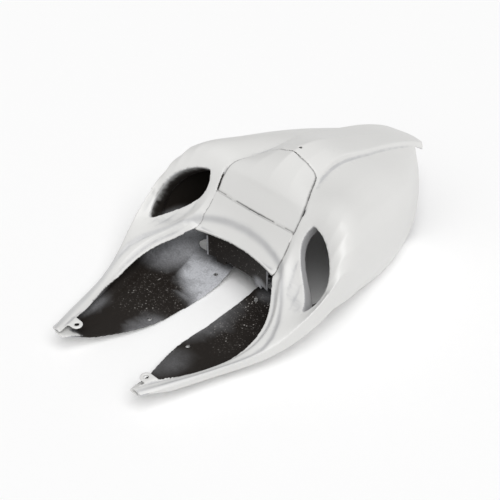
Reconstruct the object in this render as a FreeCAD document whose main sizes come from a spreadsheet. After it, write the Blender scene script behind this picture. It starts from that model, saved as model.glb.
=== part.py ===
import FreeCAD, Part
import math
import os
from FreeCAD import Vector

# Tail section of a sports motorcycle: a one-piece moulded shell whose two front arms hold the
# rider's seat, a bridge that closes the seat's rear edge, and a cowl let into the hump behind it.
# Millimetres. +Z is up, +Y points to the rear, +X is the rider's left.
# Y = 0 is halfway along the part and Z = 0 is the surface that it rests on.

doc = FreeCAD.newDocument("tail_section")
sheet = doc.addObject("Spreadsheet::Sheet", "Sizes")

SIZES = {
    # skin and seams
    "wall": 3.0,                # thickness of the moulded skin
    "seam_gap": 0.8,            # open joint round the bridge and the cowl
    "ledge_wall": 2.6,          # flange under the skin that the panels are bonded to
    "ledge_width": 9.0,         # how far the flange reaches in under the panels
    "ledge_root": 7.0,          # how far it reaches out under the shell's skin
    "ledge_front_y": -75.0,
    "panel_z": 62.0,            # between the floor and the lowest edge of the panels
    # inner edge of the seat opening, from the arm's tip to the seam with the bridge
    "rim_tip_x": 73.0, "rim_tip_y": -339.0,
    "rim_arm_x": 95.0, "rim_arm_y": -271.0,
    "rim_bow_x": 115.0, "rim_bow_y": -213.0,
    "rim_wide_x": 122.5, "rim_wide_y": -169.0,
    "rim_turn_x": 116.0, "rim_turn_y": -130.0,
    "rim_close_x": 95.0, "rim_close_y": -98.0,
    "seam_x": 79.5, "seam_y": -79.0,
    "arch_y": -66.0,            # the bridge's edge on the middle line
    "rim_under_z": 27.5,        # between the floor and the underside of the rim
    "seat_step": 12.0,          # width of the step that the seat's base lies on
    "seat_step_z": 81.0,
    # outline of the recess that takes the bridge and the cowl
    "cowl_front_y": -33.0, "cowl_front_x": 77.0,
    "cowl_wide_x": 79.0, "cowl_wide_y": -13.0,
    "cowl_rear_x": 47.0, "cowl_rear_y": 47.0,
    "cowl_corner": 16.0,        # radius of its rear corners
    "bevel_front_z": 124.5,     # flat front of the cowl, from its front edge up to the crease
    "bevel_top_y": -13.0, "bevel_top_z": 156.0,
    # outline of an intake, on a plane that leans back by intake_lean
    "intake_lean": 50.0,
    "intake_front_u": 154.0, "intake_front_v": -10.5,
    "intake_inner_u": 118.0, "intake_inner_v": 31.0,
    "intake_bulge_u": 96.5, "intake_bulge_v": 64.0,
    "intake_rear_u": 102.0, "intake_rear_v": 97.5,
    "intake_outer_u": 139.5, "intake_outer_v": 80.0,
    "intake_cheek_u": 164.0, "intake_cheek_v": 42.0,
    "intake_corner": 3.0,
    "intake_lip": 3.0,          # wall of the lip that turns inwards round it
    "intake_lip_w": 90.0,       # inner end of the lip
    "intake_top_w": 163.0,      # above the skin
    # arm tips, tabs and holes
    "front_y": -331.0,
    "tab_x": 72.0, "tab_y": -304.0, "tab_z": 36.0,
    "tab_radius": 8.5, "tab_wall": 3.2, "tab_hole": 6.6, "tab_reach": 14.0,
    "sill_hole": 6.0,
    "sill_hole_front_x": 40.0, "sill_hole_front_y": -204.0,
    "sill_hole_rear_x": 42.0, "sill_hole_rear_y": -72.0,
    "deck_hole": 5.0, "deck_hole_y": 60.5,
    # the rear
    "floor_end_y": -46.0, "floor_open_x": 112.0, "floor_rear_x": 62.0,
    "floor_open_z": 40.0, "floor_corner": 12.0,
    "stern_y": 331.0, "stern_x": 46.0,
    # the bridge's curtain and lugs, the cowl's tongue and hooks
    "curtain_x": 62.0, "curtain_back": 4.0, "curtain_wall": 2.6, "curtain_z": 36.0,
    "lug_x": 38.0, "lug_y": -43.0, "lug_radius": 8.0, "lug_z": 29.0, "lug_wall": 3.0, "lug_hole": 6.6,
    "lug_ring": 5.5, "lug_ring_height": 0.8,
    "tongue_x": 10.0, "tongue_reach": 21.0, "hook_x": 48.0,
}

# Half sections of the outer skin, front to rear, as a hull's table of offsets. Each row gives
# the station and then the points of the half section from the middle outwards:
# roof: height on the middle line; crown: share of the drop to the crest that is reached halfway;
# crest: edge of the seat ledge, then of the tail's spine;
# foot: the other side of the step there; brow and cheek: handles of the curve over the hip;
# flank: its widest point; floor: height of the roll-under; sill: the lower edge.
COLUMNS = ("y", "roof_z", "crown", "crest_x", "crest_z", "foot_x", "foot_z", "brow_x", "brow_z",
           "cheek_x", "cheek_z", "flank_x", "flank_z", "floor_z", "sill_x", "sill_z")
STATIONS = {
    "tip":      (-341, 41, 0.45, 76, 41, 77.5, 42, 80.5, 41.5, 84.5, 38.5, 88, 33, 22, 74, 24),
    "tongue":   (-269, 35, 0.45, 99, 35, 100.5, 37, 104, 38.5, 109, 39, 113, 36, 10, 47, 11),
    "arm":      (-209, 32, 0.45, 118, 32, 120, 35.5, 124, 38, 130, 39.5, 134, 36.5, 3, 29, 3),
    "bow":      (-159, 43, 0.45, 129, 44, 133, 49, 140, 50, 148, 50, 156, 48, 1, 26, 0),
    "scoop":    (-114, 60, 0.45, 115, 62, 120, 69, 138, 64, 158, 68, 171.5, 76, 1, 24, 1),
    "mouth":    (-69, 84, 0.45, 84, 88, 91, 94, 120, 70, 167, 96, 178, 107, 3, 26, 9),
    "throat":   (-44, 110, 0.45, 79, 113, 86, 115, 112, 94, 168, 166, 177, 118, 4, 30, 16),
    "hip":      (-19, 150, 0.3, 78, 150, 84, 150, 112, 148, 172, 190, 174, 107, 4, 40, 8),
    "hump":     (31, 188, 0.3, 56, 168, 60, 166, 100, 172, 162, 190, 161, 90, 0, 60, 2),
    "spine":    (91, 190, 0.42, 42, 177, 46, 168, 90, 165, 147, 170, 148, 75, -2.5, 80, -2.5),
    "waist":    (151, 170, 0.45, 41, 164, 45, 157, 80, 150, 132, 155, 131, 65, -2, 85, -2),
    "taper":    (221, 147, 0.45, 39, 145, 43, 138, 65, 130, 104, 128, 102, 58, 1, 70, 1),
    "counter":  (281, 125, 0.45, 38, 124, 42, 116, 50, 109, 62, 98, 66, 52, 4, 50, 4),
    "end":      (361, 80, 0.45, 30, 78, 34, 72, 37, 62, 41, 50, 43, 34, 4, 30, 4),
}

# Rear edge of the flanks from the side, from under the spine's end down to the sill.
REAR_EDGE = {
    "rear_tip": (354, 60), "rear_under": (327, 84), "rear_spine": (289, 111),
    "rear_notch": (267, 94), "rear_bulge": (255, 78), "rear_low": (237, 45), "rear_sill": (181, -2),
}

cells = dict(SIZES)
for station, values in STATIONS.items():
    cells.update({f"{station}_{c}": v for c, v in zip(COLUMNS, values)})
for name, (y, z) in REAR_EDGE.items():
    cells.update({f"{name}_y": y, f"{name}_z": z})
for row, (alias, value) in enumerate(cells.items(), start=1):
    sheet.set(f"A{row}", alias)
    sheet.set(f"B{row}", str(value))
    sheet.setAlias(f"B{row}", alias)
doc.recompute()


def size(alias):
    return float(sheet.get(alias))


def point(name, z=0.0, side=1):
    """Plan point NAME_x, NAME_y at a height."""
    return Vector(side * size(name + "_x"), size(name + "_y"), z)


def feature(name, shape):
    obj = doc.addObject("Part::Feature", name)
    obj.Shape = shape
    return obj


def cut(name, base, tool):
    obj = doc.addObject("Part::Cut", name)
    obj.Base, obj.Tool = base, tool
    return obj


def common(name, base, tool):
    obj = doc.addObject("Part::Common", name)
    obj.Base, obj.Tool = base, tool
    return obj


def fuse(name, pieces):
    obj = doc.addObject("Part::MultiFuse", name)
    obj.Shapes = pieces
    return obj


BROW_SPANS, FLOOR_SPANS = 6, 4      # strips over the hip and round the roll-under


def offset_section(points, depth):
    """Move a half section inwards, corner by corner, and keep its spans from folding over."""
    spans = [(b[0] - a[0], b[1] - a[1]) for a, b in zip(points, points[1:])]
    normals = [(dz / math.hypot(dx, dz), -dx / math.hypot(dx, dz)) for dx, dz in spans]
    normals = [normals[0]] + normals + [normals[-1]]
    moved = []
    for (x, z), a, b in zip(points, normals, normals[1:]):
        nx, nz = a[0] + b[0], a[1] + b[1]
        reach = min(2 * depth / (nx * nx + nz * nz), 6 * depth / math.hypot(nx, nz))
        moved.append([x + nx * reach, z + nz * reach])
    for a, b, (dx, dz) in reversed(list(zip(moved, moved[1:], spans))):
        length = math.hypot(dx, dz)
        short = 0.2 - ((b[0] - a[0]) * dx + (b[1] - a[1]) * dz) / length ** 2
        if short > 0:
            a[0], a[1] = a[0] - short * dx, a[1] - short * dz
    return moved


def bezier(handles, spans):
    curve = Part.BezierCurve()
    curve.setPoles([Vector(x, 0, z) for x, z in handles])
    return [(p.x, p.z) for p in (curve.value(i / spans) for i in range(1, spans + 1))]


def half_section(station, depth):
    """Points of a station's half section, from the middle line out and under to the sill."""
    get = {c: size(f"{station}_{c}") for c in COLUMNS}
    crest, foot, brow, cheek, flank, sill = (
        (get[k + "_x"], get[k + "_z"]) for k in ("crest", "foot", "brow", "cheek", "flank", "sill"))
    low = get["floor_z"]
    turn = (flank[0], low + 0.15 * (flank[1] - low))
    roll = (sill[0] + 0.75 * (flank[0] - sill[0]), low)
    half = (crest[0] / 2, get["roof_z"] + get["crown"] * (crest[1] - get["roof_z"]))
    points = [(0, get["roof_z"]), half, crest, foot]
    points += bezier([foot, brow, cheek, flank], BROW_SPANS)
    points += bezier([flank, turn, roll, sill], FLOOR_SPANS)
    if depth > 0:
        points = offset_section(points, depth)
        points[0] = (0, points[0][1])
        points[-1] = (sill[0], points[-1][1])
    return get["y"], points


def rails(rows):
    """One spline for each point of the half section, through its places at all the stations."""
    first, last = rows[0][0], rows[-1][0]
    params = [(y - first) / (last - first) for y, _ in rows]
    curves = []
    for i in range(len(rows[0][1])):
        curve = Part.BSplineCurve()
        curve.interpolate(Points=[Vector(p[i][0], y, p[i][1]) for y, p in rows], Parameters=params)
        curves.append(curve)
    return curves


def strip_face(a, b):
    """Ruled surface between two rails."""
    surface = Part.BSplineSurface()
    surface.buildFromPolesMultsKnots(
        [a.getPoles(), b.getPoles()], [2, 2], a.getMultiplicities(),
        [0, 1], a.getKnots(), False, False, 1, a.Degree)
    return surface.toShape()


def skin_body(depth, keel_z=None, stations=tuple(STATIONS)):
    """Closed body under the skin at that depth; with keel_z it goes on down between the sills."""
    rows = [half_section(s, depth) for s in stations]
    if keel_z is not None:
        rows = [(y, list(p) + [(p[-1][0], keel_z)]) for y, p in rows]
    near = rails(rows)
    far = rails([(y, [(-x, z) for x, z in p]) for y, p in rows])
    ring = near + far[:0:-1]
    faces = [strip_face(a, b) for a, b in zip(ring, ring[1:] + ring[:1])]
    for end in (0, -1):
        corners = [c.getPoles()[end] for c in ring]
        faces.append(Part.Face(Part.makePolygon(corners + corners[:1])))
    shell = Part.makeShell(faces)
    shell.sewShape()
    body = Part.Solid(shell)
    if body.Volume < 0:
        body.reverse()
    return body


def spline(points):
    curve = Part.BSplineCurve()
    curve.interpolate(points)
    return curve.toShape()


def plan_prism(edges, z0, z1):
    """Upright prism over a closed plan outline."""
    face = Part.Face(Part.Wire(edges))
    face.translate(Vector(0, 0, z0))
    return face.extrude(Vector(0, 0, z1 - z0))


def side_prism(edges, half):
    """Prism across the part over a closed outline in the middle plane."""
    face = Part.Face(Part.Wire(edges))
    face.translate(Vector(-half, 0, 0))
    return face.extrude(Vector(2 * half, 0, 0))


def lines(points):
    return [Part.makeLine(p, q) for p, q in zip(points, points[1:])]


HIGH, LOW, WIDE = 260.0, -80.0, 250.0       # well outside the part
MIDDLE = ("bow", "scoop", "mouth", "throat", "hip", "hump", "spine", "waist", "taper")
RIM = ("rim_tip", "rim_arm", "rim_bow", "rim_wide", "rim_turn", "rim_close", "seam")


def seat_outline(grow):
    """Outline of the seat opening in plan, moved outwards by grow, open far to the front."""
    def moved(name, side):
        p = point(name, 0, side)
        return Vector(p.x + side * grow, p.y, 0)
    left = [moved(n, 1) for n in RIM]
    right = [moved(n, -1) for n in RIM]
    left[-1].y = right[-1].y = size("seam_y") + grow * 0.5
    arch = Part.Arc(left[-1], Vector(0, size("arch_y") + grow, 0), right[-1]).toShape()
    ahead = Vector(0, -150, 0)
    front = lines([right[0], right[0] + ahead, left[0] + ahead, left[0]])
    return [spline(left), arch, spline(right[::-1])] + front


def recess_prism(inset):
    """Recess for the bridge and the cowl, down to panel_z; inset makes it smaller."""
    rear_y = size("cowl_rear_y") - inset
    half = [Vector(size("seam_x") - inset, size("seam_y") - 40, 0),
            Vector(size("seam_x") - inset, size("seam_y") + 20, 0),
            Vector(size("cowl_front_x") - inset, size("cowl_front_y"), 0),
            Vector(size("cowl_wide_x") - inset, size("cowl_wide_y"), 0),
            Vector(size("cowl_rear_x") - inset, rear_y, 0)]
    ring = half + [Vector(-p.x, p.y, 0) for p in reversed(half)]
    solid = plan_prism(lines(ring + ring[:1]), size("panel_z"), HIGH)
    corners = [e for e in solid.Edges
               if e.BoundBox.ZLength > 100 and abs(e.CenterOfMass.y - rear_y) < 1e-6]
    return solid.makeFillet(max(size("cowl_corner") - inset, 1.0), corners)


def step_relief(depth):
    """Lower step round the bridge and the seam, where the seat's base lies."""
    return plan_prism(seat_outline(size("seat_step") + depth), size("seat_step_z") - depth, HIGH)


def bevel_relief(depth):
    """Flat front of the cowl."""
    low = Vector(0, size("cowl_front_y"), size("bevel_front_z"))
    top = Vector(0, size("bevel_top_y"), size("bevel_top_z"))
    along = (top - low).normalize()
    inward = Vector(0, along.z, -along.y) * depth
    low, top = low + inward - along * 2 * depth, top + inward
    ring = [low, top, Vector(0, top.y, HIGH), Vector(0, low.y, HIGH), low]
    return side_prism(lines(ring), WIDE).common(recess_prism(-depth))


def relieved(name, depth, keel_z=None):
    """Body at a depth under the skin, with the seat's step and the cowl's bevel taken from it."""
    tools = [step_relief(depth), bevel_relief(depth)]
    return cut(name, feature(name + "Raw", skin_body(depth, keel_z)),
               feature(name + "Reliefs", Part.makeCompound(tools)))


def slab(y0, y1):
    """All of the part between two stations."""
    return Part.makeBox(2 * WIDE, y1 - y0, HIGH - LOW, Vector(-WIDE, y0, LOW))


def both_sides(shape):
    return Part.makeCompound([shape, shape.mirror(Vector(0, 0, 0), Vector(1, 0, 0))])


LEAF = ("front", "inner", "bulge", "rear", "outer", "cheek")


def intake_prism(grow, depth):
    """Leaf-shaped prism square to the intake's plane, from depth to well outside the skin."""
    lean = math.radians(size("intake_lean"))
    rise = Vector(0, math.cos(lean), math.sin(lean))
    out = Vector(0, -math.sin(lean), math.cos(lean))
    ring = [Vector(size(f"intake_{n}_u"), 0, 0) + rise * size(f"intake_{n}_v") + out * depth for n in LEAF]
    middle = sum(ring, Vector()) / len(ring)
    ring = [p + (p - middle).normalize() * grow for p in ring]
    leaf = Part.Wire([spline(ring[:4]), spline(ring[3:] + ring[:1])])
    solid = Part.Face(leaf).extrude(out * (size("intake_top_w") - depth))
    tips = [e for e in solid.Edges if abs((e.lastVertex().Point - e.firstVertex().Point).dot(out)) > 1]
    return solid.makeFillet(size("intake_corner") + grow, tips)


def rear_prism():
    """What lies behind the flanks' rear edge, from the side."""
    def at(name):
        return Vector(0, size(name + "_y"), size(name + "_z"))
    upper = spline([at(n) for n in ("rear_tip", "rear_under", "rear_spine")])
    lower = spline([at(n) for n in ("rear_spine", "rear_notch", "rear_bulge", "rear_low", "rear_sill")])
    a, b = at("rear_sill"), at("rear_tip")
    behind = lines([a, Vector(0, a.y, LOW), Vector(0, b.y + 80, LOW), Vector(0, b.y + 80, b.z), b])
    return side_prism([upper, lower] + behind, WIDE)


def tip_prism():
    """What lies outside the spine's rounded end, in plan."""
    y0, y1, half = size("rear_spine_y"), size("stern_y"), size("stern_x")
    side = [Vector(half + 12, y0 - 1, 0), Vector(half, y0 + 0.45 * (y1 - y0), 0),
            Vector(half * 0.62, y1 - 11, 0)]
    other = [Vector(-p.x, p.y, 0) for p in reversed(side)]
    outline = [spline(side + [Vector(0, y1, 0)] + other), Part.makeLine(other[-1], side[0])]
    return slab(y0, y1 + 90).cut(plan_prism(outline, LOW, HIGH))


def floor_prism():
    """The open floor behind the seat, narrower to the rear and with rounded front corners."""
    y0 = size("floor_end_y")
    half = [Vector(size("floor_open_x"), y0, 0), Vector(size("floor_open_x"), size("waist_y"), 0),
            Vector(size("floor_rear_x"), size("rear_low_y"), 0), Vector(0, size("stern_y") + 50, 0)]
    ring = half + [Vector(-p.x, p.y, 0) for p in half[2::-1]]
    solid = plan_prism(lines(ring + ring[:1]), LOW, size("floor_open_z"))
    corners = [e for e in solid.Edges if e.BoundBox.ZLength > 100 and abs(e.CenterOfMass.y - y0) < 1]
    return solid.makeFillet(size("floor_corner"), corners)


def curtain_wall():
    """Curved wall under the bridge, a little behind its edge, longer where the lugs hang."""
    back, lug, half = size("curtain_back"), size("lug_radius"), size("curtain_x")
    front, rear = seat_outline(back)[1], seat_outline(back + size("curtain_wall"))[1]
    ends = [Part.makeLine(front.Vertexes[i].Point, rear.Vertexes[i].Point) for i in (0, -1)]
    band = plan_prism([front, ends[0], rear, ends[1]], size("lug_z"), size("seat_step_z") - wall)
    windows = [Part.makeBox(2 * half, 400, HIGH, Vector(-half, -200, size("curtain_z")))]
    for side in (1, -1):
        windows.append(Part.makeBox(2 * lug, 400, HIGH, Vector(side * size("lug_x") - lug, -200, 0)))
    return band.common(windows[0].multiFuse(windows[1:]))


def tongue_blocks():
    """Plan of the cowl's tongue under the spine and of its two hooks under the bridge."""
    half, z0 = size("tongue_x"), size("panel_z")
    corner = Vector(-half, size("cowl_rear_y") - 20, z0)
    boxes = [Part.makeBox(2 * half, size("tongue_reach") + 20, HIGH, corner)]
    for side in (1, -1):
        corner = Vector(side * size("hook_x") - half, size("cowl_front_y") - 10, z0)
        boxes.append(Part.makeBox(2 * half, 20, HIGH, corner))
    return Part.makeCompound(boxes)


def cylinder(name, x, y, z, radius, height):
    """Upright cylinder bound to the sheet; every measure is an expression."""
    obj = doc.addObject("Part::Cylinder", name)
    for prop, value in (("Radius", radius), ("Height", height), ("Placement.Base.x", x),
                        ("Placement.Base.y", y), ("Placement.Base.z", z)):
        obj.setExpression(prop, value)
    return obj


def box(name, x, y, z, length, width, height):
    """Box bound to the sheet; every measure is an expression."""
    obj = doc.addObject("Part::Box", name)
    for prop, value in (("Length", length), ("Width", width), ("Height", height), ("Placement.Base.x", x),
                        ("Placement.Base.y", y), ("Placement.Base.z", z)):
        obj.setExpression(prop, value)
    return obj


SIDES = ((1, "Left"), (-1, "Right"))


def drill(name, x, y, diameter, z0=LOW, height=HIGH):
    """A pair of upright holes, one on each side."""
    return [cylinder(name + word, f"{side} * Sizes.{x}", f"Sizes.{y}", f"{z0}",
                     f"Sizes.{diameter} / 2", f"{height}") for side, word in SIDES]


# The skin is what lies between two bodies, and the seat opening goes through it.
wall = size("wall")
outer = relieved("Outside", 0)
inner = relieved("Inside", wall, LOW)
skin = cut("Skin", outer, inner)
seat_cut = feature("SeatOpening", plan_prism(seat_outline(0), size("rim_under_z"), HIGH))
skin_open = cut("SkinOpen", skin, seat_cut)

# The recess splits the skin into the shell, the bridge and the cowl.
gap = size("seam_gap")
recess = feature("Recess", recess_prism(0))
bare_shell = cut("ShellBare", skin_open, recess)
panels = common("Panels", skin_open, feature("PanelOutline", recess_prism(gap)))
split_y = size("cowl_front_y")
bridge_skin = common("BridgeSkin", panels, feature("BridgeZone", slab(-400, split_y - gap / 2)))
cowl_skin = common("CowlSkin", panels, feature("CowlZone", slab(split_y + gap / 2, 400)))

# A layer under the skin gives the flange that carries the panels and the cowl's tongue and hooks.
depth = wall + size("ledge_wall")
underside = cut("LedgeUnderside", feature("LedgeUndersideRaw", skin_body(depth, None, MIDDLE)),
                feature("LedgeReliefs", Part.makeCompound([step_relief(depth), bevel_relief(depth)])))
ring = cut("LedgeRing", feature("LedgeRoot", recess_prism(-size("ledge_root"))),
           feature("LedgeHole", recess_prism(size("ledge_width"))))
tongue_slot = box("TongueSlot", "-Sizes.tongue_x - 2", "0", "Sizes.panel_z",
                  "2 * Sizes.tongue_x + 4", "200", f"{HIGH}")
ledge_plan = cut("LedgePlan", common("LedgeSpan", ring, feature(
    "LedgeZone", slab(size("ledge_front_y"), size("cowl_rear_y") + 20))), tongue_slot)
ledge = cut("Ledge", common("LedgeBlock", inner, ledge_plan), underside)

# Intakes: a leaf-shaped hole in each shoulder with a lip that turns inwards.
intake = feature("IntakeHole", both_sides(intake_prism(0, size("intake_lip_w") - 15)))
lip_block = cut("LipBlock", feature("LipOutside", both_sides(
    intake_prism(size("intake_lip"), size("intake_lip_w")))), intake)
lips = common("IntakeLips", outer, lip_block)

# Rear and front: the flanks end in a swept edge, the spine in a rounded tip, the floor is open.
trimmed = cut("ShellIntakes", bare_shell, intake)
for name, tool in (("Rear", rear_prism()), ("Tip", tip_prism()), ("Floor", floor_prism()),
                   ("Nose", slab(-450, size("front_y")))):
    trimmed = cut("ShellTrimmed" + name, trimmed, feature(name + "Cut", tool))

# Tabs on the arm tips take the seat's front screws.
tabs = []
for side, word in SIDES:
    tabs.append(cylinder("TabLobe" + word, f"{side} * Sizes.tab_x", "Sizes.tab_y", "Sizes.tab_z",
                         "Sizes.tab_radius", "Sizes.tab_wall"))
    tabs.append(box("TabWeb" + word, "Sizes.tab_x" if side > 0 else "-Sizes.tab_x - Sizes.tab_reach",
                    "Sizes.tab_y - Sizes.tab_radius", "Sizes.tab_z",
                    "Sizes.tab_reach", "2 * Sizes.tab_radius", "Sizes.tab_wall"))

shell_holes = drill("TabHole", "tab_x", "tab_y", "tab_hole", size("tab_z") - 3, 15)
shell_holes += drill("SillHoleFront", "sill_hole_front_x", "sill_hole_front_y", "sill_hole", LOW, 100)
shell_holes += drill("SillHoleRear", "sill_hole_rear_x", "sill_hole_rear_y", "sill_hole", LOW, 110)
deck_hole = cylinder("DeckHole", "0", "Sizes.deck_hole_y", "Sizes.panel_z", "Sizes.deck_hole / 2",
                     f"{HIGH}")
joined = fuse("ShellJoined", [trimmed, ledge, lips] + tabs)
tail_shell = cut("TailShell", joined, fuse("ShellHoles", shell_holes + [deck_hole]))
tail_shell.Label = "tail_shell"

# Bridge: the arched panel, a curtain down behind its edge and two lugs with ringed holes.
curtain = feature("Curtain", curtain_wall())
lugs = []
for side, word in SIDES:
    x = f"{side} * Sizes.lug_x"
    lugs.append(cylinder("LugLobe" + word, x, "Sizes.lug_y", "Sizes.lug_z", "Sizes.lug_radius",
                         "Sizes.lug_wall"))
    lugs.append(cylinder("LugRing" + word, x, "Sizes.lug_y", "Sizes.lug_z", "Sizes.lug_ring",
                         "Sizes.lug_wall + Sizes.lug_ring_height"))
    lugs.append(box("LugWeb" + word, f"{x} - Sizes.lug_radius", "Sizes.arch_y + Sizes.curtain_back",
                    "Sizes.lug_z", "2 * Sizes.lug_radius",
                    "Sizes.lug_y - Sizes.arch_y - Sizes.curtain_back", "Sizes.lug_wall"))
bridge_joined = fuse("BridgeJoined", [bridge_skin, curtain] + lugs)
lug_holes = fuse("LugHoles", drill("LugHole", "lug_x", "lug_y", "lug_hole", LOW, 120))
seat_bridge = cut("SeatBridge", bridge_joined, lug_holes)
seat_bridge.Label = "seat_bridge"

# Cowl: hooked under the bridge at the front, with a tongue under the spine at the rear.
tongues = cut("Tongues", common("TongueBlock", inner, feature("TonguePlan", tongue_blocks())), underside)
cowl_joined = fuse("CowlJoined", [cowl_skin, tongues])
seat_cowl = cut("SeatCowl", cowl_joined, deck_hole)
seat_cowl.Label = "seat_cowl"

doc.recompute()
nodes = [tail_shell, seat_bridge, seat_cowl]
for o in doc.Objects:
    if "Invalid" in o.State or "Error" in o.State:
        raise RuntimeError(f"{o.Name} failed: {o.State}")
for o in nodes:
    if not o.Shape.isValid() or len(o.Shape.Solids) != 1:
        raise RuntimeError(f"{o.Label} is not one valid solid")
os.makedirs("parts", exist_ok=True)
for o in nodes:
    o.Shape.exportStep(f"parts/{o.Label}.step")
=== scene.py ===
# %% [markdown]
# A motorcycle tail section, dressed from its packed solids.
# The frame gives the shell, the seat bridge and the seat cowl as exact solids in metres.
# What follows keeps their place and size, gives the step round the seat its finer form, and adds
# what moulding and paint do to the pieces.

import bpy
import numpy as np
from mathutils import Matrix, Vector
from mathutils.kdtree import KDTree


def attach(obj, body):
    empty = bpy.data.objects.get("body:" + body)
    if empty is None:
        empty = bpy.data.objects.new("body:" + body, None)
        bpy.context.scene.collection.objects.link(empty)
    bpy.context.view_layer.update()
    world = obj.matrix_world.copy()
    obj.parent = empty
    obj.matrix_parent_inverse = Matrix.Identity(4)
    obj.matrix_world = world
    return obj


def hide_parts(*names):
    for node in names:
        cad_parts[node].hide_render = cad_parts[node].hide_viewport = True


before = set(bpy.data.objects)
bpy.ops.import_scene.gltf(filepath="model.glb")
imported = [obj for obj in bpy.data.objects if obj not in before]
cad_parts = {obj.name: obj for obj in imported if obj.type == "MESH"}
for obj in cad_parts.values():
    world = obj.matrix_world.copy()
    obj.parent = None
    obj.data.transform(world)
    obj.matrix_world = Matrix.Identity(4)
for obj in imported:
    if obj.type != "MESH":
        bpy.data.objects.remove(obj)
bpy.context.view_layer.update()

# %% [markdown]
# The camera stands where the photographer stood: in front of the left arm and above it.
# Its place and direction were worked out from the symmetry of the part, so the render can be
# laid over the photograph. A 72 mm lens on a 36 mm sensor gives the same perspective.

# %% Camera
CAMERA_PLACE = Vector((0.8138, -0.8659, 0.9388))
CAMERA_LOOK = Vector((-0.5603, 0.5672, -0.6036))
camera_data = bpy.data.cameras.new("camera")
camera_data.lens, camera_data.sensor_width = 72.0, 36.0
camera = bpy.data.objects.new("camera", camera_data)
bpy.context.scene.collection.objects.link(camera)
camera.location = CAMERA_PLACE
camera.rotation_euler = CAMERA_LOOK.to_track_quat("-Z", "Y").to_euler()
bpy.context.scene.camera = camera
print("camera at", tuple(camera.location))

# %% [markdown]
# Round the seat runs a step: the rim that the seat lies on is a strip about 20 mm wide, a few
# millimetres lower than the skin outside it. The line of the step was found by following its shaded
# edge in the photograph on the solids, and the line of the rim is the opening's own edge. The table
# holds the skin's height in millimetres over the rear corner: a row every 4 mm along the part, a
# column for each place across it. The part is symmetric, so one half is enough.

# %% Lines and heights round the seat
STEP_LINE = (
    (0, -0.0493), (0.026, -0.0510), (0.042, -0.0531), (0.0626, -0.0578), (0.081, -0.0640),
    (0.1026, -0.0850), (0.1205, -0.1040), (0.138, -0.1280), (0.147, -0.1500), (0.147, -0.1680),
    (0.1415, -0.1830), (0.1255, -0.2216), (0.1095, -0.2646), (0.0940, -0.3066), (0.0835, -0.3350))
RIM_LINE = (
    (0, -0.0660), (0.020, -0.0668), (0.040, -0.0692), (0.060, -0.0733), (0.0795, -0.0790),
    (0.095, -0.0980), (0.116, -0.1300), (0.1225, -0.1690), (0.115, -0.2130), (0.095, -0.2710))
SKIN_FRONT, SKIN_PITCH = -0.082, 0.004
SKIN_X = (0, 0.040, 0.060, 0.070, 0.078, 0.083, 0.090, 0.100)
SKIN_Z = np.array((
    (69.0, 71.0, 73.0, 74.5, 76.5, 79.5, 85.0, 85.2),
    (73.0, 75.0, 77.0, 78.3, 80.0, 82.0, 87.0, 86.2),
    (77.0, 79.0, 81.0, 82.0, 83.4, 84.5, 89.5, 87.5),
    (81.0, 83.0, 84.9, 85.7, 86.8, 87.3, 92.1, 88.9),
    (84.9, 86.9, 88.6, 89.4, 90.1, 90.5, 95.8, 90.8),
    (89.0, 90.9, 92.3, 93.0, 93.4, 94.6, 97.9, 93.1),
    (93.2, 95.0, 96.1, 96.6, 97.0, 98.6, 100.4, 96.0),
    (97.5, 99.2, 100.1, 100.6, 101.0, 102.6, 103.4, 99.6),
    (102.1, 103.7, 104.6, 105.0, 105.4, 106.9, 107.1, 103.8),
    (107.2, 108.7, 109.5, 110.0, 110.4, 111.6, 111.5, 108.8))) / 1000


def ramp(low, high, value):
    """Rises softly from nought at low to one at high."""
    t = np.clip((value - low) / (high - low), 0.0, 1.0)
    return t * t * (3 - 2 * t)


def between(low, value, high):
    return (value > low) & (value < high)


def beyond(line, x, y):
    """Distance in plan from a line of points: above zero behind it or outside it."""
    best, side = np.full(len(x), np.inf), np.zeros(len(x))
    for (ax, ay), (bx, by) in zip(line, line[1:]):
        ux, uy = bx - ax, by - ay
        t = np.clip(((x - ax) * ux + (y - ay) * uy) / (ux * ux + uy * uy), 0, 1)
        gx, gy = x - ax - t * ux, y - ay - t * uy
        gap = np.hypot(gx, gy)
        closer = gap < best
        best[closer] = gap[closer]
        side[closer] = np.sign(ux * gy - uy * gx)[closer]
    return best * side


def skin_height(x, y):
    """Height of the whole skin over the corner of the seat, by the table."""
    rows = np.stack([np.interp(x, SKIN_X, row) for row in SKIN_Z])
    at = np.clip((y - SKIN_FRONT) / SKIN_PITCH, 0, len(SKIN_Z) - 1.001)
    low, share = at.astype(int), at - at.astype(int)
    every = np.arange(len(x))
    return rows[low, every] * (1 - share) + rows[low + 1, every] * share


print("skin behind the seat climbs from", SKIN_Z[0, 0], "to", SKIN_Z[-1, 0], "m")

# %% [markdown]
# The points of a mesh are moved as arrays, all at once. A value is evened out by drawing each
# point's value towards the mean of its neighbours', a little in every pass, and a weight between
# nought and one says where and how strongly.

# %% Move and even out points
EVEN = 0.6                               # how far one pass draws a point towards its neighbours


def points_and_normals(piece):
    count = len(piece.data.vertices)
    places, normals = np.empty(count * 3), np.empty(count * 3)
    piece.data.vertices.foreach_get("co", places)
    piece.data.vertex_normals.foreach_get("vector", normals)
    return places.reshape(-1, 3), normals.reshape(-1, 3)


def move_points(piece, old, new, what):
    piece.data.vertices.foreach_set("co", new.ravel())
    piece.data.update()
    print(piece.name, what, "by up to", round(np.abs(new - old).max() * 1000, 1), "mm")


def neighbours(piece):
    """Both ends of every edge, each way, and one share for each point's neighbours."""
    edges = np.empty(len(piece.data.edges) * 2, dtype=np.int64)
    piece.data.edges.foreach_get("vertices", edges)
    a, b = np.r_[edges[::2], edges[1::2]], np.r_[edges[1::2], edges[::2]]
    return a, b, 1 / np.maximum(np.bincount(a, minlength=len(piece.data.vertices)), 1)


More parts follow.
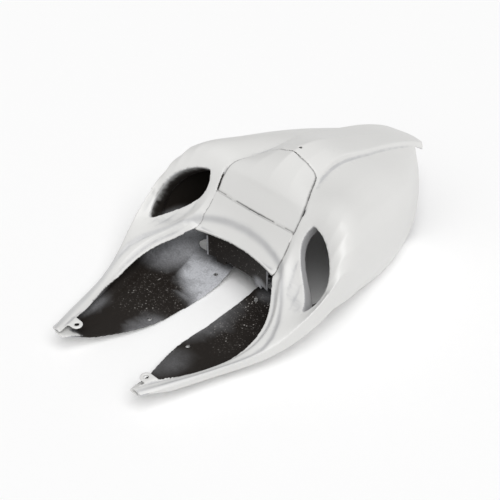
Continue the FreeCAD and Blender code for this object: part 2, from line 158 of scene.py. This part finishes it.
def soften(piece, values, weight, passes):
    """Evens out one value of the points, in place, as far as each point's weight lets it."""
    a, b, share = neighbours(piece)
    for _ in range(passes):
        values += EVEN * weight * (np.bincount(a, values[b], len(values)) * share - values)


print("each pass draws a point", EVEN, "of the way to its neighbours")

# %% [markdown]
# In the solids the strip behind the seat is a level shelf; on the real moulding it climbs with the
# skin. So the points there are set to new heights, upper and lower side alike, and the folds that
# this leaves are evened out. Along the arms the strip is set a little lower, the floors sweep up at
# the tips, and the flat strips of the flanks are evened out.

# %% Shape the step round the seat
STEP_DEPTH, ARM_DEPTH = 0.0038, 0.0030   # behind the seat, along the arms
STEP_SPREAD = 0.0024                     # half the width over which the step falls
STRIP_LOWEST = 0.081                     # the strip is set no lower, unless the skin is
SHEET, SHEET_LEAST = 0.0040, 0.0030      # from the strip's upper side to its lower side
FLANGE_X, FLANGE_DROP = 0.0797, 0.0035   # the shell's flange, and how far it lies under the bridge
ARCH_Y, ARCH_RADIUS = -0.3156, 0.2496    # the bridge's front edge is an arc round this point
TIP_LIFT = 0.009
CREASE_Y = -0.013                        # here the cowl's front bevel meets its top


def shape_step(piece):
    """Sets the strip round the seat to its heights and evens out what this leaves."""
    p, n = points_and_normals(piece)
    x, y, z = np.abs(p[:, 0]), p[:, 1], p[:, 2].copy()
    outside, from_rim = beyond(STEP_LINE, x, y), beyond(RIM_LINE, x, y)
    strip = 1 - ramp(-STEP_SPREAD, STEP_SPREAD, outside)
    # behind the seat: from the level shelf to the climbing strip
    skin = skin_height(x, y)
    top = np.maximum(skin - STEP_DEPTH * strip, np.minimum(skin, STRIP_LOWEST))
    here = between(-0.0795, y, -0.0450) & (x < 0.098) & (from_rim > -0.001) & (outside < 0.004)
    flange = (x < FLANGE_X) * FLANGE_DROP if piece.name.startswith("shell") else 0.0
    back = np.hypot(x, y - ARCH_Y)
    forward = -(n[:, 0] * p[:, 0] + n[:, 1] * (y - ARCH_Y)) / np.maximum(back, 1e-6)
    wall = (n[:, 2] > -0.3) & (forward > 0.3) & ((from_rim > 0.0105) | (from_rim < 0.0015))
    upper = (n[:, 2] > 0.25) | wall
    under = np.where(from_rim < 0.0155, top - SHEET, z - (skin - top))
    new = np.where(upper, top - flange, np.minimum(under, top - SHEET_LEAST) - flange)
    z += np.where(here, (new - z) * ramp(0.0745, 0.0775, z), 0)
    # along the arms: the strip a little lower, and the tips' floors swept up
    arms = (1 - ramp(-0.104, -0.082, y)) * ramp(-0.345, -0.300, y)
    z -= ARM_DEPTH * strip * (arms * (z > 0.027) * (from_rim > -0.006))
    z += TIP_LIFT * (1 - ramp(-0.331, -0.283, y)) * (1 - ramp(0.028, 0.037, z))
    # the corner, the fold where the shelf's wall stood, and the flanks are evened out
    made = np.stack([p[:, 0], y, z], axis=1)
    corner = ramp(0.068, 0.076, x) * (1 - ramp(0.104, 0.114, x)) * ramp(-0.102, -0.092, y)
    corner *= (1 - ramp(-0.066, -0.056, y)) * ramp(0.070, 0.074, z)
    fold = np.exp(-((from_rim - 0.0125) / 0.003) ** 2) * here * (z > 0.079)
    flank = ramp(-0.012, 0.010, y) * (1 - ramp(0.235, 0.262, y)) * ramp(0.062, 0.074, x)
    flank *= ramp(0.010, 0.022, z)
    soften(piece, made[:, 2], corner, 14)
    for k in range(3):
        soften(piece, made[:, k], fold, 25)
    for k in (0, 2):
        soften(piece, made[:, k], flank, 90)
    move_points(piece, p, made, "moved")


def soften_crease(piece):
    """Rolls the cowl's crease, which the photograph shows as a soft bend."""
    p, _ = points_and_normals(piece)
    made, off = p.copy(), p[:, 1] - CREASE_Y
    for k in range(3):
        soften(piece, made[:, k], np.exp(-(off / 0.004) ** 2), 60)
    soften(piece, made[:, 2], np.exp(-(off / 0.007) ** 2), 60)
    move_points(piece, p, made, "crease rolled")


print("step of", STEP_DEPTH, "m behind the seat and", ARM_DEPTH, "m along the arms")

# %% [markdown]
# A real moulding has no sharp edges: the mould has small radii and the paint rounds them further.
# The solids are made of long ruled strips with knife edges, so each one is copied, its loose
# triangles are merged, and a fine voxel remesh rebuilds it as one even skin. Then the step is
# shaped, and a few passes of smoothing round every edge by about a millimetre and melt the strips
# into one surface. A bevel would need clean loops, which a triangulated solid doesn't have, so
# remeshing is the better way here.


# %% Turn the solids into moulded pieces
def select_only(obj):
    bpy.ops.object.select_all(action="DESELECT")
    obj.select_set(True)
    bpy.context.view_layer.objects.active = obj


def moulded_copy(node, name, voxel, passes, keep):
    """Copy of a node with rounded edges; keep is the share of triangles left at the end."""
    piece = bpy.data.objects.new(name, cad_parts[node].data.copy())
    bpy.context.scene.collection.objects.link(piece)
    piece.data.materials.clear()
    select_only(piece)
    bpy.ops.object.mode_set(mode="EDIT")
    bpy.ops.mesh.select_all(action="SELECT")
    bpy.ops.mesh.remove_doubles(threshold=0.00001)
    bpy.ops.object.mode_set(mode="OBJECT")
    remesh = piece.modifiers.new("even skin", "REMESH")
    remesh.mode, remesh.voxel_size = "VOXEL", voxel
    bpy.ops.object.modifier_apply(modifier="even skin")
    if node == "seat_cowl":
        soften_crease(piece)
    else:
        shape_step(piece)
    smooth = piece.modifiers.new("rounded edges", "SMOOTH")
    smooth.factor, smooth.iterations = 0.5, passes
    thin = piece.modifiers.new("fewer triangles", "DECIMATE")
    thin.ratio = keep
    for modifier in ("rounded edges", "fewer triangles"):
        bpy.ops.object.modifier_apply(modifier=modifier)
    bpy.ops.object.shade_smooth()
    triangles = sum(len(face.vertices) - 2 for face in piece.data.polygons)
    print(name, "has", triangles, "triangles")
    return piece


shell = moulded_copy("tail_shell", "shell_skin", voxel=0.0016, passes=4, keep=0.31)
bridge = moulded_copy("seat_bridge", "bridge_panel", voxel=0.0010, passes=5, keep=0.9)
cowl = moulded_copy("seat_cowl", "cowl_panel", voxel=0.0010, passes=5, keep=0.8)

# %% [markdown]
# The outside is sprayed white and the inside is left black, so each point needs to know on which
# side of the skin it lies. The normal tells: on the inside it points towards the middle of the
# hollow, which runs through the arms as the table says and along the middle plane behind them. The
# step round the seat also faces the middle, but it lies under the open sky, so a ray straight up
# sorts it out. The sills are black too. What lies close under the bridge or the cowl, and the walls
# of the seams, get the black as painted shade: it stands for the dark in the seams.

# %% Mark the inside of the shell
RIM_Y = (-0.339, -0.271, -0.213, -0.169, -0.130, -0.098, -0.079)
RIM_X = (0.073, 0.095, 0.115, 0.1225, 0.116, 0.095, 0.0795)
RIM_Z = (0.041, 0.035, 0.031, 0.038, 0.052, 0.068, 0.077)
HOLLOW_Y = (-0.34, -0.27, -0.21, -0.16, -0.11, -0.07)
HOLLOW_Z = (0.030, 0.023, 0.019, 0.023, 0.032, 0.045)
HOLLOW_X = (0.080, 0.080, 0.082, 0.091, 0.098, 0.100)
HUMP_Z = 0.068                           # the hollow's middle under the hump
ARM_FLATNESS = 0.3                       # the arms are much wider than high
RAY_START = 0.0012                       # rays start this far off the skin


def covered(pieces, places, normals, rows, reach, way=(0, 0, 1)):
    """Whether a ray from these points, straight up or another way, meets one of the pieces."""
    found = np.zeros(len(places), bool)
    for row in rows:
        start = Vector(places[row] + normals[row] * RAY_START)
        found[row] = any(o.ray_cast(start, Vector(way), distance=reach)[0] for o in pieces)
    return found


shell_p, shell_n = points_and_normals(shell)
x, y, z = np.abs(shell_p[:, 0]), shell_p[:, 1], shell_p[:, 2]
outward, upward = shell_n[:, 0] * np.sign(shell_p[:, 0]), shell_n[:, 2]
arms = 1 - ramp(-0.095, -0.060, y)
middle_x = np.sign(shell_p[:, 0]) * np.interp(y, HOLLOW_Y, HOLLOW_X) * arms
middle_z = np.interp(y, HOLLOW_Y, HOLLOW_Z) * arms + HUMP_Z * (1 - arms)
dx = (shell_p[:, 0] - middle_x) * (ARM_FLATNESS * arms + (1 - arms))
dz = z - middle_z
away = (shell_n[:, 0] * dx + upward * dz) / np.maximum(np.hypot(dx, dz), 1e-6)
shell_black_and_shade = ramp(0.30, 0.45, -away)
# the rim along the arms and the step are sprayed
rim_x, rim_z = np.interp(y, RIM_Y, RIM_X), np.interp(y, RIM_Y, RIM_Z)
shell_black_and_shade[(y < -0.079) & (x < rim_x + 0.004) & (z > 0.026)] = 0.0
near_step = between(-0.34, y, 0.05) & (x < np.where(y < -0.055, 0.100, 0.092))
step = np.flatnonzero((shell_black_and_shade > 0) & near_step & (z > rim_z - 0.004))
shell_black_and_shade[step[~covered([shell], shell_p, shell_n, step, 0.3)[step]]] = 0.0
# the flanges under the bridge and the cowl and the seams' walls get the black as painted shade; the
# sills are black
flange = np.flatnonzero(between(-0.09, y, 0.09) & (x < 0.09) & (z > 0.06))
shell_black_and_shade[covered([bridge, cowl], shell_p, shell_n, flange, 0.008)] = 1.0
seams = between(-0.080, y, 0.050) & (x < 0.0805) & (z > 0.07)
shell_black_and_shade[seams & between(-0.3, upward, 0.3)] = 1.0
shell_black_and_shade[(y < -0.045) & (z < 0.030) & (outward < -0.3)] = 1.0
sill = between(-0.306, y, -0.190) & (x < rim_x - 0.010) & (z < 0.037)
shell_black_and_shade[sill & (outward < -0.12)] = 1.0
print("share of the shell's points inside:", round(float(shell_black_and_shade.mean()), 3))

# %% [markdown]
# Each intake is a hole along an axis that leans back by 50 degrees, with a lip that turns inwards.
# The spray gun reached what lies open along that axis: 4 mm of the lip below its edge, and far more
# on the walls that face away from the middle plane. The edge's place is found for each direction
# round the hole. The result is stored on the mesh as an attribute for the paint to read.

# %% Leave the lips of the intakes white
LEAN_Y, LEAN_Z = 0.766, 0.643
INTAKE_AXIS = (0, -LEAN_Y, LEAN_Z)
INTAKE_X, INTAKE_RISE = 0.130, 0.045     # the hole's middle, seen along the axis
INTAKE_RADIUS = 0.075                    # all of the hole lies this close to its middle
INTAKE_FOOT, INTAKE_SIDE = 0.088, 0.085  # and beyond this along the axis and across the part
LIP_WHITE, WALL_WHITE, WHITE_FADE = 0.0040, 0.0400, 0.0008


def store(piece, name, values):
    layer = piece.data.attributes.new(name, "FLOAT", "POINT")
    layer.data.foreach_set("value", values.astype(np.float32))
    print(piece.name, name, "mean", round(float(values.mean()), 3))


along, rise = z * LEAN_Z - y * LEAN_Y, y * LEAN_Z + z * LEAN_Y
to_x, to_rise = INTAKE_X - x, INTAKE_RISE - rise
radius = np.hypot(to_x, to_rise)
n_rise = shell_n[:, 1] * LEAN_Z + upward * LEAN_Y
facing = (outward * to_x + n_rise * to_rise) / radius
by_hole = (radius < INTAKE_RADIUS) & (along > INTAKE_FOOT) & (x > INTAKE_SIDE)
beside_axis = np.abs(shell_n @ np.array(INTAKE_AXIS)) < 0.6
lip = np.flatnonzero(by_hole & beside_axis & (facing > 0.2))
lip = lip[~covered([shell], shell_p, shell_n, lip, 0.2, INTAKE_AXIS)[lip]]
turn = np.arctan2(-to_rise[lip], -to_x[lip])
turns = np.linspace(-np.pi, np.pi, 37)
edge = [along[lip][np.abs(turn - t) < 0.14].max(initial=0.09) for t in turns]
depth = np.interp(turn, turns, edge) - along[lip]
limit = LIP_WHITE + WALL_WHITE * ramp(-0.4, 0.0, outward[lip])
shell_black_and_shade[lip] = ramp(limit - WHITE_FADE, limit + WHITE_FADE, depth)
soften(shell, shell_black_and_shade, (by_hole & (y < 0.0)).astype(float), 2)
# the white part of each lip also gets painted shade, through the hollow values below
lip_shade = np.zeros(len(shell_p))
lip_shade[lip] = 1 - shell_black_and_shade[lip]
store(shell, "inside", shell_black_and_shade)

# %% [markdown]
# The bridge and the cowl are black below and behind the curtain that hangs from the bridge's front
# edge. The walls of their seams are painted black as shade, and over the last two or three
# millimetres before a seam the white is painted darker, as shade, since no light gets in. The strip
# that the seat lies on and the cowl's rolled crease stay white, although their normals are not
# quite upright.

# %% Mark the bridge and the cowl
BRIDGE_SIDE, BRIDGE_REAR = 0.0765, -0.0355
CURTAIN_DEPTH, CURTAIN_TOP = 0.0022, 0.0785


def seam_shadow(piece, inside, width, share):
    """Darkens a narrow edge along the walls of a seam, where no light gets in."""
    p, n = points_and_normals(piece)
    wall = np.flatnonzero((inside > 0.5) & (np.abs(n[:, 2]) < 0.35))
    tree = KDTree(len(wall))
    for k, row in enumerate(wall):
        tree.insert(p[row], k)
    tree.balance()
    for row in np.flatnonzero((inside < 0.5) & (n[:, 2] > 0.3)):
        gap = tree.find(p[row])[2]
        if gap < width:
            inside[row] = max(inside[row], share * (1 - gap / width))
    return inside


bridge_p, bridge_n = points_and_normals(bridge)
x, y, z = np.abs(bridge_p[:, 0]), bridge_p[:, 1], bridge_p[:, 2]
arch = np.sqrt(ARCH_RADIUS ** 2 - x ** 2) + ARCH_Y
behind_curtain = (y - arch > CURTAIN_DEPTH) & (z < CURTAIN_TOP)
seams = (x > BRIDGE_SIDE) | (y > BRIDGE_REAR)
level = ramp(0.1, 0.35, bridge_n[:, 2])
# black below; on the walls of the seams the black is painted shade
black_and_seam_shade = np.maximum(ramp(0.3, 0.5, -bridge_n[:, 2]), seams * (1 - level))
black_and_seam_shade[(y < -0.045) & (z > skin_height(x, y) - 0.0055) & (x < BRIDGE_SIDE)] = 0.0
black_and_seam_shade = seam_shadow(bridge, black_and_seam_shade, width=0.0022, share=0.85)
store(bridge, "inside", np.maximum(black_and_seam_shade, behind_curtain))

cowl_p, cowl_n = points_and_normals(cowl)
crease = (np.abs(cowl_p[:, 1] - CREASE_Y) < 0.006) & (np.abs(cowl_p[:, 0]) < 0.070)
# black below; on the walls of its edges the black is painted shade of the seams
black_and_seam_shade = 1 - ramp(0.1, 0.35, cowl_n[:, 2])
black_and_seam_shade[crease & (cowl_n[:, 2] > -0.3)] = 0.0
store(cowl, "inside", seam_shadow(cowl, black_and_seam_shade, width=0.0032, share=1.0))

# %% [markdown]
# The spray gun also reached the inside here and there. The photograph shows a pale cloud on the
# far arm's floor next to the bridge, another on the wall above it, a little along the lower edges,
# and white specks and scratches where things were laid in. The pale line along the far wall's foot
# is no overspray but a painted highlight, a sheen, and the near floor's patches are partly
# overspray and partly a painted sheen. Each is a soft patch on the mesh, given by its strength, its
# centre and its radius along each axis; the paint breaks its edge up with noise later.

# %% Lay on the overspray and the painted sheen
FAR_FLOOR_X = (-0.115, -0.098, -0.087, -0.056, -0.031, -0.015)
FAR_FLOOR_Y = (-0.050, -0.078, -0.108, -0.119, -0.133, -0.140)   # front edge of the cloud
MIST_AND_SHEEN = (
    (0.30, (-0.030, -0.222, 0.004), (0.030, 0.045, 0.02)),
    # a painted highlight: the pale sheen along the far wall's foot
    (0.25, (-0.112, -0.262, 0.020), (0.020, 0.060, 0.02)),
    # the near floor: partly overspray, partly a painted sheen at its front
    (0.18, (0.030, -0.142, 0.003), (0.022, 0.075, 0.02)),
    (0.15, (0.050, -0.250, 0.009), (0.035, 0.050, 0.02)),
    (0.30, (0.050, -0.055, 0.006), (0.025, 0.020, 0.02)),
    (0.28, (0.150, -0.020, 0.055), (0.05, 0.045, 0.016)))
SPECKS = (
    (1.0, (0.075, -0.105, 0.003), (0.075, 0.095, 0.03)),
    (0.7, (-0.080, -0.165, 0.003), (0.07, 0.075, 0.03)))
BRIDGE_MIST, BRIDGE_SPECKS, COWL_MIST = 0.75, 0.3, 0.1


def blob(p, centre, radius):
    """Soft patch: one at the centre, nothing from the radius outwards; radius for each axis."""
    d = np.sqrt((((p - np.array(centre)) / np.array(radius)) ** 2).sum(axis=1))
    return 1 - ramp(0.35, 1.0, d)


def blobs(p, patches):
    return [strength * blob(p, centre, radius) for strength, centre, radius in patches]


# here x keeps its sign: the far side is below nought
x, y, z = shell_p.T
cloud_edge = np.interp(x, FAR_FLOOR_X, FAR_FLOOR_Y)
far_floor = ramp(-0.014, 0.016, y - cloud_edge) * (x < 0) * (1 - ramp(0.012, 0.022, z))
bare_spot = 0.9 * blob(shell_p, (-0.064, -0.038, 0.005), (0.030, 0.022, 0.03))
far_floor *= (y < -0.02) * (1 - bare_spot)
far_wall = 0.95 * (blob(shell_p, (-0.125, -0.066, 0.032), (0.065, 0.085, 0.042)) * (x < -0.07))
tips = 0.8 * (1 - ramp(-0.322, -0.300, y))
store(shell, "mist", np.maximum.reduce([far_floor, far_wall, tips, *blobs(shell_p, MIST_AND_SHEEN)]))
store(shell, "specks", np.maximum.reduce(blobs(shell_p, SPECKS)))

bridge_cloud = BRIDGE_MIST * blob(bridge_p, (0.046, -0.060, 0.034), (0.026, 0.03, 0.018))
bridge_ends = BRIDGE_MIST * ramp(0.0585, 0.0605, np.abs(bridge_p[:, 0])) * (bridge_p[:, 2] < 0.072)
store(bridge, "mist", np.maximum(bridge_cloud, bridge_ends))
store(bridge, "specks", np.full(len(bridge_p), BRIDGE_SPECKS))
store(cowl, "mist", np.full(len(cowl_p), COWL_MIST))
store(cowl, "specks", np.zeros(len(cowl_p)))

# %% [markdown]
# Painted shade goes into the hollows of the moulding, a bluish grey in the white: along the rim's
# groove, at the foot of the bridge's step, in the intakes' lips. A point lies in a hollow when its
# surroundings, averaged over a few millimetres, lie outside it, so each mesh is smoothed on the
# side and compared with itself. A narrow band of the same painted shade follows the step's line,
# because the step is too soft to count everywhere.

# %% Find the hollows for the painted shade
DEPTH_FROM, DEPTH_TO = 0.00006, 0.00060
BAND_WIDTH, BAND_SHADE = 0.0032, 0.8


def hollows(piece, passes):
    p, n = points_and_normals(piece)
    a, b, share = neighbours(piece)
    soft = p
    for _ in range(passes):
        around = [np.bincount(a, soft[b, k], len(p)) * share for k in range(3)]
        soft = (1 - EVEN) * soft + EVEN * np.stack(around, axis=1)
    depth = ((soft - p) * n).sum(axis=1)
    from_step = beyond(STEP_LINE, np.abs(p[:, 0]), p[:, 1])
    # a band of painted shade along the step's line, besides the shade of the hollows
    band = np.exp(-(from_step / BAND_WIDTH) ** 2) * (n[:, 2] > 0.1)
    band_shade = BAND_SHADE * band * ramp(0.030, 0.034, p[:, 2])
    return np.maximum(ramp(DEPTH_FROM, DEPTH_TO, depth), band_shade)


store(shell, "hollow", np.maximum(hollows(shell, passes=10), lip_shade))
store(bridge, "hollow", hollows(bridge, passes=16))
store(cowl, "hollow", np.zeros(len(cowl_p)))

# %% [markdown]
# The paint is a network of shader nodes. A few helpers keep it readable: each adds one kind of
# node, gives it numbers, colours or other nodes' outputs as inputs, and returns its output.


# %% Helpers for the paint
class Network:
    """Adds nodes to the network of one material."""

    def __init__(self, material):
        material.use_nodes = True
        self.tree = material.node_tree
        self.shader = self.tree.nodes["Principled BSDF"]
        self.coords = self.new("ShaderNodeTexCoord", {}).outputs["Object"]

    def new(self, kind, inputs, **settings):
        made = self.tree.nodes.new(kind)
        for key, value in settings.items():
            setattr(made, key, value)
        return self.fill(made, inputs)

    def fill(self, node, inputs):
        for key, value in inputs.items():
            if isinstance(value, (float, tuple)):
                node.inputs[key].default_value = value
            else:
                self.tree.links.new(value, node.inputs[key])
        return node

    def attribute(self, key):
        return self.new("ShaderNodeAttribute", {}, attribute_name=key).outputs["Fac"]

    def noise(self, scale, detail, rough):
        inputs = {"Vector": self.coords, "Scale": scale, "Detail": detail, "Roughness": rough}
        return self.new("ShaderNodeTexNoise", inputs).outputs["Fac"]

    def spots(self, scale, stretch, turn):
        """Distance to the nearest of many scattered points, stretched along one way."""
        inputs = {"Vector": self.coords, "Rotation": (0, 0, turn), "Scale": (1, stretch, 1)}
        place = self.new("ShaderNodeMapping", inputs).outputs["Vector"]
        inputs = {"Vector": place, "Scale": scale}
        return self.new("ShaderNodeTexVoronoi", inputs, feature="F1").outputs["Distance"]

    def mapped(self, source, a, b, c, d):
        """Maps a to c and b to d along a soft curve that is level beyond both."""
        inputs = {"Value": source, "From Min": a, "From Max": b, "To Min": c, "To Max": d}
        made = self.new("ShaderNodeMapRange", inputs, interpolation_type="SMOOTHSTEP")
        return made.outputs["Result"]

    def mix(self, factor, a, b):
        """From a to b; the node has its own sockets for colours and for numbers."""
        if isinstance(b, tuple) or b.type == "RGBA":
            return self.new("ShaderNodeMix", {0: factor, 6: a, 7: b}, data_type="RGBA").outputs[2]
        return self.new("ShaderNodeMix", {0: factor, 2: a, 3: b}, data_type="FLOAT").outputs[0]

    def times(self, a, b):
        return self.new("ShaderNodeMath", {0: a, 1: b}, operation="MULTIPLY").outputs[0]

    def most(self, a, b):
        return self.new("ShaderNodeMath", {0: a, 1: b}, operation="MAXIMUM").outputs[0]


print("helpers:", [key for key in vars(Network) if not key.startswith("_")])

# %% [markdown]
# One paint serves all three pieces. Outside it is a warm white with a satin sheen and the faint
# orange peel of a sprayed finish, greyed in the hollows by painted shade. Inside it is bare
# brownish black moulding with a fine grain, under the overspray and a painted sheen; the same black
# is painted as shade on the walls of the seams. Everything is made of noise on object coordinates,
# so it fits any view and needs no picture.

# %% Paint
WHITE, WHITE_PALE = (0.705, 0.702, 0.688, 1), (0.745, 0.742, 0.730, 1)
BLACK_AND_SEAM_SHADE, BLACK_AND_SEAM_SHADE_PALE = (0.006, 0.0048, 0.004, 1), (0.023, 0.018, 0.0145, 1)
# the first of the next three colours, a bluish grey, is painted shade for the hollows; the second
# is overspray and also a painted sheen
SHADE_GREY, OVERSPRAY_AND_SHEEN, SCRATCH = (0.36, 0.365, 0.385, 1), (0.56, 0.57, 0.60, 1), (0.42, 0.40, 0.38, 1)
PEEL_HEIGHT = 0.05                       # of the orange peel, against one for the inside's grain
SHEEN_OUTSIDE, SHEEN_INSIDE = 0.45, 0.22


def sprayed_moulding(name):
    material = bpy.data.materials.new(name)
    net = Network(material)
    noise, mapped, mix, times = net.noise, net.mapped, net.mix, net.times
    inside = net.attribute("inside")
    cloud, grain, patches = noise(9.0, 3.0, 0.5), noise(420.0, 3.0, 0.6), noise(34.0, 4.0, 0.6)
    # outside: white, with painted shade in the hollows, a bluish grey
    shade_share = times(net.attribute("hollow"), mapped(patches, 0.3, 0.7, 0.50, 0.66))
    white = mix(shade_share, mix(cloud, WHITE, WHITE_PALE), SHADE_GREY)
    # inside: black, also painted as shade on the seams' walls, then overspray with a painted sheen,
    # then dots, scratches and flecks
    black_and_seam_shade = mix(grain, BLACK_AND_SEAM_SHADE, BLACK_AND_SEAM_SHADE_PALE)
    fog_and_sheen = times(net.attribute("mist"), mapped(patches, 0.32, 0.60, 0.72, 1.05))
    fog_and_sheen = times(fog_and_sheen, mapped(grain, 0.25, 0.7, 0.75, 1.1))
    dots = times(mapped(net.spots(190.0, 1.0, 0.0), 0.12, 0.26, 1.0, 0.0),
                 mapped(patches, 0.47, 0.58, 0.0, 1.0))
    lines = times(mapped(net.spots(120.0, 0.22, 0.7), 0.07, 0.14, 1.0, 0.0),
                  mapped(patches, 0.45, 0.55, 1.0, 0.0))
    flecks = mapped(grain, 0.60, 0.68, 0.0, 0.45)
    marks = times(net.most(net.most(dots, lines), flecks), net.attribute("specks"))
    marked = mix(marks, mix(fog_and_sheen, black_and_seam_shade, OVERSPRAY_AND_SHEEN), SCRATCH)
    # satin outside, duller inside
    satin, dull = mapped(cloud, 0.3, 0.7, 0.34, 0.40), mapped(grain, 0.3, 0.7, 0.40, 0.60)
    height = mix(inside, times(noise(260.0, 2.0, 0.5), PEEL_HEIGHT), grain)
    bump = net.new("ShaderNodeBump", {"Strength": 0.35, "Distance": 0.0006, "Height": height})
    net.fill(net.shader, {
        "Base Color": mix(inside, white, marked),
        "Roughness": mix(inside, satin, dull),
        "Normal": bump.outputs["Normal"],
        "Specular IOR Level": mapped(inside, 0.0, 1.0, SHEEN_OUTSIDE, SHEEN_INSIDE)})
    print(name, "has", len(net.tree.nodes), "shader nodes")
    return material


paint = sprayed_moulding("white_paint_over_black")
for piece, node, slot in ((shell, "tail_shell", "shell_paint"),
                          (bridge, "seat_bridge", "bridge_paint"),
                          (cowl, "seat_cowl", "cowl_paint")):
    piece.data.materials.append(paint)
    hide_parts(node)
    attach(piece, "root")

# %% [markdown]
# The photograph is a cut-out on white: a white sweep throws light back onto the flanks, and a
# broad lamp stands high on the near side. A nearly white floor, an even sky and one very wide sun
# give the same, evenly all over the floor: bright flanks, a slightly greyer deck, soft shadows.

# %% Floor and light
SKY_STRENGTH, SUN_STRENGTH, SUN_ANGLE = 0.42, 2.15, 0.9
SUN_WAY = Vector((-0.45, 0.25, -0.85))
bpy.ops.object.select_all(action="DESELECT")
bpy.ops.mesh.primitive_plane_add(size=12.0, location=(0, 0, -0.0005))
floor = bpy.context.object
floor.name = "floor"
floor_paint = bpy.data.materials.new("pale_floor")
floor_paint.use_nodes = True
floor_shader = floor_paint.node_tree.nodes["Principled BSDF"]
floor_shader.inputs["Base Color"].default_value = (0.97, 0.97, 0.97, 1)
floor_shader.inputs["Roughness"].default_value = 0.9
floor.data.materials.append(floor_paint)

world = bpy.data.worlds.new("studio")
bpy.context.scene.world = world
world.use_nodes = True
sky = world.node_tree.nodes["Background"]
sky.inputs["Color"].default_value = (1, 1, 1, 1)
sky.inputs["Strength"].default_value = SKY_STRENGTH

sun_data = bpy.data.lights.new("wide_sun", "SUN")
sun_data.energy, sun_data.angle = SUN_STRENGTH, SUN_ANGLE
sun = bpy.data.objects.new("wide_sun", sun_data)
bpy.context.scene.collection.objects.link(sun)
sun.rotation_euler = SUN_WAY.to_track_quat("-Z", "Y").to_euler()
bpy.context.scene.view_settings.view_transform = "Standard"
print("sun of", SUN_STRENGTH, "and sky of", SKY_STRENGTH)

# %% [markdown]
